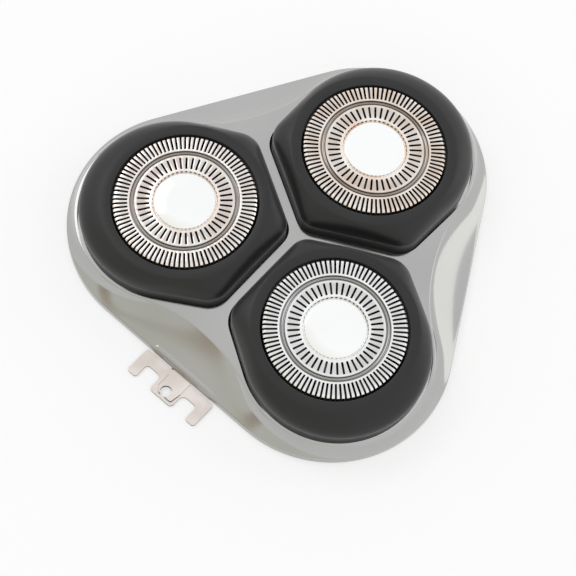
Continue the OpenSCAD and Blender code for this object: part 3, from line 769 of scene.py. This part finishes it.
def top_place(share, inset=0.0, drop=0.0):
    """A loop of the domed top, at a share of the crease's reach."""
    def place(angle):
        reach = crease_reach(angle)
        edge = crease_level(reach)
        height = edge + (top_level - edge) * (1 - share ** 2) - drop
        return polar((reach - inset) * share, angle, height)
    return place


# %% [markdown]
# Three helpers make closed solids: a shell from a stack of loops, an upright prism over a convex
# outline, and anything else that a small build function adds to an empty mesh.

# %% Helpers that make solids
def shell(name, loops, segments, soft=()):
    """A closed solid from a stack of loops; soft holds (loop number, width) of the edges to round."""
    mesh = bmesh.new()
    first = start_loop(mesh, segments, loops[0])
    rims = [first]
    for place in loops[1:]:
        rims.append(grow(mesh, rims[-1], place))
    bmesh.ops.holes_fill(mesh, edges=rims[0] + rims[-1], sides=0)
    for number, width in soft:
        bmesh.ops.bevel(mesh, geom=rims[number], offset=width, segments=4, affect="EDGES",
                        profile=0.5, material=-1)
    bmesh.ops.recalc_face_normals(mesh, faces=mesh.faces)
    return new_object(mesh, name)


def prism(circles, low, high, name, matrix=Matrix.Identity(4), segments=160):
    """An upright solid over a convex outline."""
    mesh = bmesh.new()

    def level(height):
        return lambda angle: polar(belt_reach(circles, round(angle, 9)), angle, height)
    first = start_loop(mesh, segments, level(low))
    last = grow(mesh, first, level(high))
    bmesh.ops.holes_fill(mesh, edges=first + last, sides=0)
    bmesh.ops.recalc_face_normals(mesh, faces=mesh.faces)
    return new_object(mesh, name, matrix)


def solid(name, build, matrix=Matrix.Identity(4)):
    mesh = bmesh.new()
    build(mesh)
    return new_object(mesh, name, matrix)


# %% [markdown]
# The inside is the same stack set in by the wall, with fewer loops, because no one sees it. It
# is kept as a solid of its own for now, to be shaped before it hollows the outside.

# %% Outside and hollow
SWEEP_STEPS = 14
OUTSIDE_SEGMENTS, INSIDE_SEGMENTS = 288, 120
BAND_TOP = 3
BAND_SOFT, CREASE_SOFT = 0.10, 0.11
FOOT_EDGE = 0.10

bends = [math.radians(SWEEP_FROM + (SWEEP_TO - SWEEP_FROM) * step / SWEEP_STEPS)
         for step in range(1, SWEEP_STEPS + 1)]
shares = [0.985, 0.95, 0.9, 0.84, 0.77, 0.7, 0.62, 0.54, 0.46, 0.38, 0.3, 0.22, 0.14, 0.07, 0.02]
outside = shell("housing_shell", [
    band_place(0, FOOT_EDGE), band_place(FOOT_EDGE, 0), band_place(RIM_BAND / 2, 0),
    band_place(RIM_BAND, 0)]
    + [skirt_place(bend) for bend in bends] + [top_place(share) for share in shares],
    OUTSIDE_SEGMENTS, soft=[(BAND_TOP, BAND_SOFT), (BAND_TOP + len(bends), CREASE_SOFT)])
inside = shell("housing_hollow", [band_place(-1, SKIRT_WALL)]
               + [skirt_place(math.radians(bend), SKIRT_WALL, TOP_WALL) for bend in (38, 46, 54, 61, 68)]
               + [top_place(share, SKIRT_WALL, TOP_WALL) for share in (0.8, 0.55, 0.3, 0.05)],
               INSIDE_SEGMENTS)
print("outside", len(outside.data.polygons), "inside", len(inside.data.polygons))

# %% [markdown]
# The hinge pin runs in a round barrel along the foot of the skirt, and the stamped plate hangs
# on the pin by its knuckle. The pin and all that turns on it share one axis, so the sizes of the
# hinge are set down together, and one matrix turns a lathed piece into place along that axis.

# %% The hinge's sizes and places
HINGE_SHIFT = 1.4
PLATE_WIDTH = 13.5
PLATE_SHEET = 0.25
PLATE_REACH = 4.95
ROOT_GAP = 0.3
PRONG_WIDTH = 1.75
LOBE_WIDTH = 4.4
NOTCH_DEPTH = 2.7
PLATE_HOLE = 0.9
HOLE_INSET = 1.35
TONGUE_WIDTH = 3.4
KNUCKLE_WIDTH = 3.8
PIN_RADIUS = 0.25
PIN_HEIGHT = 0.62
PIN_INSET = 0.75
RUNNING_GAP = 0.06
SNAP_GAP = 0.1
BARREL_RADIUS = 0.9
BARREL_LENGTH = 11
BARREL_TAPER = 1.2

pin_y = -rim_side + PIN_INSET
knuckle_radius = PIN_RADIUS + RUNNING_GAP + PLATE_SHEET
room_radius = knuckle_radius + SNAP_GAP
plate_root = -rim_side - ROOT_GAP
plate_tip = -rim_side - PLATE_REACH
on_pin = Matrix.Translation((HINGE_SHIFT, pin_y, PIN_HEIGHT)) @ Matrix.Rotation(math.radians(90), 4, "Y")
print("pin at y", round(pin_y, 2), "mm, plate from", round(plate_root, 2), "to", round(plate_tip, 2))

# %% [markdown]
# The barrel shows as a soft swelling that dies away at both ends. It is lathed with rounded
# ends, cut level just over the foot, and joined to the outside before the shell is hollowed.

# %% Hinge barrel
END_TURN = 80
END_STEPS = 8
FOOT_CLEARANCE = 0.05


def hinge_barrel():
    half = BARREL_LENGTH / 2
    taper = [(BARREL_RADIUS * math.cos(math.radians(END_TURN * step / END_STEPS)),
              half + BARREL_TAPER * step / END_STEPS) for step in range(END_STEPS + 1)]
    profile = [(0, -half - BARREL_TAPER)] + [(radius, -along) for radius, along in reversed(taper)]
    profile += taper + [(0, half + BARREL_TAPER)]
    mesh = lathe(profile, steps=96)
    mesh.transform(on_pin)
    cut = bmesh.ops.bisect_plane(mesh, geom=mesh.verts[:] + mesh.edges[:] + mesh.faces[:],
                                 plane_co=(0, 0, FOOT_CLEARANCE), plane_no=(0, 0, 1), clear_inner=True)
    bmesh.ops.holes_fill(mesh, edges=[part for part in cut["geom_cut"]
                                      if isinstance(part, bmesh.types.BMEdge)], sides=0)
    return new_object(mesh, "barrel")


outside.data.materials.append(plating)
combine(outside, hinge_barrel(), "UNION", plating)
print("outside with its barrel", len(outside.data.polygons), "faces")

# %% [markdown]
# What stands inside the shell is kept back from the hollow: a collar round each pocket, the
# stem that the lock turns on with its cross bar, three posts that the frame rests on, and the
# bed of the hinge barrel. So they are cut away from the hollow, and one cut makes them all.

# %% Hollowing the housing
POST_RADIUS = 0.9
BEYOND = 5
bar_low, bar_high = (-2.3, -0.8, 0.2), (2.3, 0.8, 0.7)
stem_foot = (0, 0, 0.2)
post_place = HEAD_RADIUS - 0.05
post_foot = FRAME_TOP + 0.05
bed_half = BARREL_LENGTH / 2 + BARREL_TAPER

for head in HEADS:
    combine(inside, prism(grown(ring_circles, POCKET_GAP + COLLAR_WALL), -COLLAR_DEPTH, 3,
                          "collar", head_matrix(head)), "DIFFERENCE")
combine(inside, solid("stem", lambda mesh: rod(mesh, stem_foot, (0, 0, HEAD_HEIGHT), STEM_RADIUS, 48)),
        "DIFFERENCE")
combine(inside, solid("bar", lambda mesh: block(mesh, bar_low, bar_high)), "DIFFERENCE")
for head in HEADS:
    angle = head_angle(head) + math.pi
    spot = (post_place * math.cos(angle), post_place * math.sin(angle))
    combine(inside, solid("post", lambda mesh: rod(mesh, (*spot, post_foot), (*spot, 7), POST_RADIUS)),
            "DIFFERENCE")
combine(inside, solid("bed", lambda mesh: block(
    mesh, (HINGE_SHIFT - bed_half, pin_y - BEYOND, -BEYOND),
    (HINGE_SHIFT + bed_half, pin_y + BARREL_RADIUS + SNAP_GAP, 9))), "DIFFERENCE")
combine(outside, inside, "DIFFERENCE", plating)
print("hollowed", len(outside.data.polygons), "faces")

# %% [markdown]
# The pockets and the peg holes are cut as the mould cuts them. Each cutter brings the painted shade, a
# nearly black finish, for the walls that it leaves, and a peg's way is open below, so the ring can drop
# in.

# %% Pockets and peg holes
for head in HEADS:
    combine(outside, prism(grown(ring_circles, POCKET_GAP), -COLLAR_DEPTH - 1, 3, "pocket",
                           head_matrix(head)), "DIFFERENCE", pocket_shade_paint)
    for side in (-1, 1):
        inner, outer = recess_radius, shoulder_reach + PEG_LENGTH + SNAP_GAP
        radius = PEG_RADIUS + RUNNING_GAP
        combine(outside, solid("peg_hole", lambda mesh: rod(
            mesh, (0, side * inner, -PEG_DEPTH), (0, side * outer, -PEG_DEPTH), radius),
            head_matrix(head)), "DIFFERENCE", pocket_shade_paint)
        low, high = sorted((side * inner, side * outer))
        combine(outside, solid("peg_way", lambda mesh: block(
            mesh, (-radius, low, -PEG_DEPTH - 4), (radius, high, -PEG_DEPTH)), head_matrix(head)),
            "DIFFERENCE", pocket_shade_paint)
print("with pockets", len(outside.data.polygons), "faces")

# %% [markdown]
# The barrel gets room for the knuckle, a way in for the tab below it, and the bore of the pin,
# which is open at one end only. What a cut leaves under the foot is dropped at the end.

# %% Room for the hinge
FOOT_SLACK = 0.02
room_half = KNUCKLE_WIDTH / 2 + 2 * SNAP_GAP
combine(outside, solid("knuckle_room", lambda mesh: rod(
    mesh, (HINGE_SHIFT - room_half, pin_y, PIN_HEIGHT), (HINGE_SHIFT + room_half, pin_y, PIN_HEIGHT),
    room_radius)), "DIFFERENCE", pocket_shade_paint)
combine(outside, solid("tab_way", lambda mesh: block(
    mesh, (HINGE_SHIFT - room_half, pin_y - BEYOND, -BEYOND),
    (HINGE_SHIFT + room_half, pin_y + room_radius + 0.05, PIN_HEIGHT))), "DIFFERENCE", pocket_shade_paint)
combine(outside, solid("pin_bore", lambda mesh: rod(
    mesh, (HINGE_SHIFT + 1 - BARREL_LENGTH / 2, pin_y, PIN_HEIGHT),
    (HINGE_SHIFT + BARREL_LENGTH, pin_y, PIN_HEIGHT), PIN_RADIUS)), "DIFFERENCE", pocket_shade_paint)
whole = bmesh.new()
whole.from_mesh(outside.data)
loose = [vert for vert in whole.verts if vert.co.z < -FOOT_SLACK * MM]
print("points left by a cut under the foot", len(loose))
bmesh.ops.delete(whole, geom=loose, context="VERTS")
whole.to_mesh(outside.data)
whole.free()
outside.name = "plated_housing"
shade(outside, 32)
seat(outside, "base", [plating, pocket_shade_paint], ["housing"])

# %% [markdown]
# The hinge plate is one strip of stamped steel. A tab at its root wraps the pin and comes back
# over the plate as a tongue, and one hole goes through both layers. Every outline is a list of
# corners with a radius each, which is how a stamping is drawn.

# %% Helpers for stampings
def rounded_outline(corners, steps=8):
    """Points of a closed outline whose corners (x, y, radius) are rounded."""
    points = []
    for number, (x, y, radius) in enumerate(corners):
        here = Vector((x, y))
        before = (Vector(corners[number - 1][:2]) - here).normalized()
        after = (Vector(corners[(number + 1) % len(corners)][:2]) - here).normalized()
        if radius == 0:
            points.append(here)
            continue
        half = before.angle(after) / 2
        centre = here + (before + after).normalized() * radius / math.sin(half)
        start, end = here + before * radius / math.tan(half), here + after * radius / math.tan(half)
        turn = (start - centre).angle_signed(end - centre)
        points += [centre + Matrix.Rotation(-turn * step / steps, 2) @ (start - centre)
                   for step in range(steps + 1)]
    return points


def sheet(mesh, corners, low, high):
    """A flat stamping between two heights."""
    ring = [mesh.verts.new((point.x, point.y, low)) for point in rounded_outline(corners)]
    face = mesh.faces.new(ring)
    raised = bmesh.ops.extrude_face_region(mesh, geom=[face])["geom"]
    bmesh.ops.translate(mesh, verts=[part for part in raised if isinstance(part, bmesh.types.BMVert)],
                        vec=(0, 0, high - low))
    bmesh.ops.recalc_face_normals(mesh, faces=mesh.faces)


# %% [markdown]
# The back has two prongs and a lobe between them, alike on both sides, so one side is listed
# and the other mirrored. The tongue lies on it, a hair deep so that the two join as one solid.

# %% The plate's back and its tongue
def plate_corners():
    """The stamped back with its two prongs and its lobe, from the -X side along the tips."""
    half, lobe = PLATE_WIDTH / 2, LOBE_WIDTH / 2
    notch_end = plate_tip + NOTCH_DEPTH
    left = [(-half, plate_root, 0.5), (-half, plate_tip, 0.5), (PRONG_WIDTH - half, plate_tip, 0.45),
            (PRONG_WIDTH - half, notch_end, 0.6), (-lobe, notch_end, 0.9), (-lobe, plate_tip, 0.6)]
    tab = KNUCKLE_WIDTH / 2
    return ([(x + HINGE_SHIFT, y, r) for x, y, r in left]
            + [(HINGE_SHIFT - x, y, r) for x, y, r in reversed(left)]
            + [(HINGE_SHIFT + tab, plate_root, 0), (HINGE_SHIFT + tab, pin_y, 0),
               (HINGE_SHIFT - tab, pin_y, 0), (HINGE_SHIFT - tab, plate_root, 0)])


JOIN = 0.02
bottom = PIN_HEIGHT - knuckle_radius
plate = solid("stamped_plate", lambda mesh: sheet(mesh, plate_corners(), bottom, bottom + PLATE_SHEET))
tongue_right = HINGE_SHIFT + KNUCKLE_WIDTH / 2
tongue_left = tongue_right - TONGUE_WIDTH
tongue = solid("tongue", lambda mesh: sheet(
    mesh, [(tongue_left, pin_y, 0), (tongue_left, plate_tip + 1.3, 0.15),
           (tongue_left + 0.7, plate_tip + 0.55, 0.3), (tongue_right - 0.3, plate_tip + 0.55, 0.3),
           (tongue_right, plate_tip + 2.4, 0.4), (tongue_right, pin_y, 0)],
    bottom + PLATE_SHEET - JOIN, bottom + 2 * PLATE_SHEET))
combine(plate, tongue, "UNION")
print("back and tongue", len(plate.data.polygons), "faces")

# %% [markdown]
# The knuckle is a short tube round the pin. The bore and the screw hole are cut after it is
# joined, so they pass through every layer, and a fine score runs beside the tongue.

# %% Knuckle and holes
SCORE = 0.1
HOLE_SEGMENTS = 48


def knuckle():
    inner, half = PIN_RADIUS + RUNNING_GAP, KNUCKLE_WIDTH / 2
    mesh = lathe([(inner, -half), (knuckle_radius, -half), (knuckle_radius, half), (inner, half),
                  (inner, -half)], steps=64)
    return new_object(mesh, "knuckle", on_pin)


combine(plate, knuckle(), "UNION")
screw = (HINGE_SHIFT, plate_tip + HOLE_INSET)
for start, end, radius in (((-9, pin_y, PIN_HEIGHT), (9, pin_y, PIN_HEIGHT), PIN_RADIUS + RUNNING_GAP),
                           ((*screw, -2), (*screw, 3), PLATE_HOLE)):
    combine(plate, solid("hole", lambda mesh: rod(mesh, start, end, radius, HOLE_SEGMENTS)), "DIFFERENCE")
combine(plate, solid("score", lambda mesh: block(
    mesh, (tongue_left - SCORE, plate_tip + 1.4, bottom + SCORE),
    (tongue_left, plate_root - 0.9, 2))), "DIFFERENCE")
print("with knuckle and holes", len(plate.data.polygons), "faces")

# %% [markdown]
# Shearing leaves the edges of a stamping rough and dull, while its faces stay as rolled. Their near-black
# colour is partly that dull shear and partly painted shade, as upright faces stand in shade. A face that
# stands upright and isn't on the knuckle is such an edge, so it gets the second finish.

# %% The plate's edges
UPRIGHT = 0.3
shade(plate, 30)
plate.data.materials.clear()
for face in plate.data.polygons:
    on_knuckle = face.center.y > (plate_root + 0.1) * MM
    face.material_index = int(abs(face.normal.z) < UPRIGHT and not on_knuckle)
edges = [face.material_index for face in plate.data.polygons]
seat(plate, "hinge", [plate_steel, sheared_edge_painted_shade], ["hinge_plate"])
plate.data.polygons.foreach_set("material_index", edges)

# %% [markdown]
# The pieces underneath and inside keep the construction's own solids. Their shapes are right,
# and they need only their finish.

# %% Finishes on the construction's solids
node_finishes = {"retaining_frame": frame_plastic, "lock_knob": knob_plastic,
                 "hinge_pin": pin_steel}
for head in HEADS:
    node_finishes[f"head_carrier_{head}"] = carrier_plastic
    node_finishes[f"cutter_{head}"] = blade_steel
    node_finishes[f"drive_hub_{head}"] = hub_plastic
    node_finishes[f"head_springs_{head}"] = spring_steel
for name, material in node_finishes.items():
    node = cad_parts[name]
    node.data.materials.clear()
    node.data.materials.append(material)
    print(name, "wears", material.name)

# %% [markdown]
# The stage is a plain pale floor. For the camera and for reflections it is lifted towards
# white, as the backdrop of a product photograph is, and it keeps the object's shadow. Right
# under the object it isn't lifted, or it would shine up through the gaps round the rings.

# %% Floor
def sees(tree, *kinds):
    """One for the kinds of ray that look at the background, and nought for the rest."""
    ray = add(tree, "LightPath")
    total = None
    for kind in kinds:
        if total is None:
            total = ray.outputs[kind]
            continue
        either = add(tree, "Math", "MAXIMUM")
        tree.links.new(total, either.inputs[0])
        tree.links.new(ray.outputs[kind], either.inputs[1])
        total = either.outputs["Value"]
    return total


FLOOR_LIFT = 0.45
FLOOR_RADIUS = 3000


def floor_material():
    material = bpy.data.materials.new("pale_floor")
    material.use_nodes = True
    tree = material.node_tree
    shader = tree.nodes["Principled BSDF"]
    shader.inputs["Base Color"].default_value = (0.85, 0.85, 0.85, 1)
    shader.inputs["Roughness"].default_value = 0.8
    shader.inputs["Specular IOR Level"].default_value = 0.1
    shader.inputs["Emission Color"].default_value = (1, 1, 1, 1)
    place = add(tree, "TexCoord")
    reach = add(tree, "VectorMath", "LENGTH")
    link(tree, place, "Object", reach, 0)
    clear = add(tree, "MapRange", From_Min=(rim_side - 1) * MM, From_Max=rim_side * MM, To_Max=FLOOR_LIFT)
    link(tree, reach, "Value", clear, "Value")
    lift = add(tree, "Math", "MULTIPLY")
    link(tree, clear, "Result", lift, 1)
    tree.links.new(sees(tree, "Is Camera Ray", "Is Glossy Ray", "Is Transmission Ray"), lift.inputs[0])
    link(tree, lift, "Value", shader, "Emission Strength")
    return material


floor_mesh = bmesh.new()
bmesh.ops.create_circle(floor_mesh, cap_ends=True, segments=96, radius=FLOOR_RADIUS)
floor = new_object(floor_mesh, "floor")
floor.data.materials.append(floor_material())
print("floor", FLOOR_RADIUS * MM, "m in radius")

# %% [markdown]
# The room is a pale dome. Metal shows what it mirrors, so the dome is bright overhead and a
# little warm and dimmer where the photographer stands, on the hinge side.

# %% Room
world = bpy.data.worlds.new("studio")
bpy.context.scene.world = world
world.use_nodes = True
sky = world.node_tree
sky.nodes.clear()
view_way = add(sky, "TexCoord")
towards = add(sky, "VectorMath", "DOT_PRODUCT")
towards.inputs[1].default_value = (-0.10, -0.90, 0.42)
link(sky, view_way, "Generated", towards, 0)
shades = add(sky, "ValToRGB")
for place, colour in ((0.30, (0.99, 1.0, 1.0, 1)), (0.60, (0.90, 0.90, 0.84, 1)),
                      (0.85, (0.88, 0.88, 0.80, 1))):
    stop = shades.color_ramp.elements.new(place)
    stop.color = colour
shades.color_ramp.elements.remove(shades.color_ramp.elements[0])
shades.color_ramp.elements.remove(shades.color_ramp.elements[-1])
link(sky, towards, "Value", shades, "Fac")
print("the dome has", len(shades.color_ramp.elements), "shades")


# %% [markdown]
# The skirt over the hinge mirrors a soft brown patch low in the room. It is placed by two
# directions: it needs much of the one that leads to it, and it fades quickly to either side.

# %% The brown patch
PATCH_COLOUR = (0.62, 0.54, 0.45, 1)
PATCH_START, PATCH_FULL = 0.45, 0.98
PATCH_NARROWING = 30


def along(direction):
    """How far a direction of view goes along a given one."""
    product = add(sky, "VectorMath", "DOT_PRODUCT")
    product.inputs[1].default_value = direction
    link(sky, view_way, "Generated", product, 0)
    return product


def reckon(operation, first, second):
    """One step of arithmetic on two values, each a node or a plain number."""
    node = add(sky, "Math", operation)
    for place, value in enumerate((first, second)):
        if isinstance(value, bpy.types.Node):
            sky.links.new(value.outputs["Value"], node.inputs[place])
        else:
            node.inputs[place].default_value = value
    return node


ahead, aside = along((-0.29, -0.957, 0)), along((0.957, -0.29, 0))
spot = reckon("SUBTRACT", ahead, reckon("MULTIPLY", reckon("MULTIPLY", aside, aside), PATCH_NARROWING))
shadow = add(sky, "MapRange", From_Min=PATCH_START, From_Max=PATCH_FULL)
shadow.interpolation_type = "SMOOTHSTEP"
link(sky, spot, "Value", shadow, "Value")
dimmed = add(sky, "MixRGB", Color2=PATCH_COLOUR)
link(sky, shadow, "Result", dimmed, "Fac")
link(sky, shades, "Color", dimmed, "Color1")
print("patch between", PATCH_START, "and", PATCH_FULL)

# %% [markdown]
# The dome does three jobs, and Light Path tells them apart. The camera sees plain white, metal
# mirrors the shaded dome, and all else is lit by an even, quieter white.

# %% What each ray sees
ROOM_LIGHT = 0.55
WHITE = (1, 1, 1, 1)

mirrored = add(sky, "Background")
link(sky, dimmed, "Color", mirrored, "Color")
white = add(sky, "Background", Color=WHITE)
light = add(sky, "Background", Color=WHITE, Strength=ROOM_LIGHT)
glossy = add(sky, "MixShader")
sky.links.new(sees(sky, "Is Glossy Ray", "Is Transmission Ray"), glossy.inputs[0])
link(sky, light, "Background", glossy, 1)
link(sky, mirrored, "Background", glossy, 2)
shown = add(sky, "MixShader")
sky.links.new(sees(sky, "Is Camera Ray"), shown.inputs[0])
link(sky, glossy, "Shader", shown, 1)
link(sky, white, "Background", shown, 2)
out = add(sky, "OutputWorld")
link(sky, shown, "Shader", out, "Surface")
print("room light", ROOM_LIGHT)

# %% [markdown]
# Two large soft lamps give the shapes a light side. They are wide and dim, so that they leave
# broad sheens and no hot spots.

# %% Soft studio lamps
def lamp(name, azimuth, elevation, distance, size, radiance, colour=(1, 1, 1)):
    """A round soft box that looks at the object; radiance is its brightness next to white."""
    data = bpy.data.lights.new(name, "AREA")
    data.shape = "DISK"
    data.size = size
    data.energy = radiance * math.pi * math.pi * (size / 2) ** 2
    data.color = colour
    shine = bpy.data.objects.new(name, data)
    flat = distance * math.cos(math.radians(elevation))
    shine.location = (flat * math.cos(math.radians(azimuth)), flat * math.sin(math.radians(azimuth)),
                      distance * math.sin(math.radians(elevation)))
    shine.rotation_euler = (-shine.location).to_track_quat("-Z", "Y").to_euler()
    bpy.context.scene.collection.objects.link(shine)
    print(name, "lamp at", azimuth, "degrees round and", elevation, "up")


lamp("key", azimuth=175, elevation=48, distance=0.8, size=0.4, radiance=1.3)
lamp("fill", azimuth=62, elevation=18, distance=0.8, size=0.48, radiance=0.6, colour=(1, 0.97, 0.92))

# %% [markdown]
# The camera stands where the photograph was taken from. Its place, roll and field of view come
# from fitting the three caps, as circles of their real size, to their ellipses in the
# photograph, and then the outline of the whole object. Directions have no unit, and the place
# is in millimetres like all the sizes.

# %% Camera
CAMERA_PLACE = (108.55, -164.97, 445.62)
CAMERA_FORWARD = (-0.21676, 0.32918, -0.91905)
CAMERA_UP = (-0.63094, 0.67115, 0.3892)
FIELD_OF_VIEW = 10.39

forward = Vector(CAMERA_FORWARD).normalized()
right = forward.cross(Vector(CAMERA_UP)).normalized()
up = right.cross(forward)
lens = bpy.data.cameras.new("photo")
lens.sensor_fit = "HORIZONTAL"
lens.angle = math.radians(FIELD_OF_VIEW)
lens.clip_start = 0.01
camera = bpy.data.objects.new("camera", lens)
turn = Matrix((right, up, -forward)).transposed().to_4x4()
camera.matrix_world = Matrix.Translation([axis * MM for axis in CAMERA_PLACE]) @ turn
bpy.context.scene.collection.objects.link(camera)
bpy.context.scene.camera = camera
bpy.context.scene.view_settings.view_transform = "Standard"
print("camera", round(Vector(CAMERA_PLACE).length), "mm away,", FIELD_OF_VIEW, "degrees across")
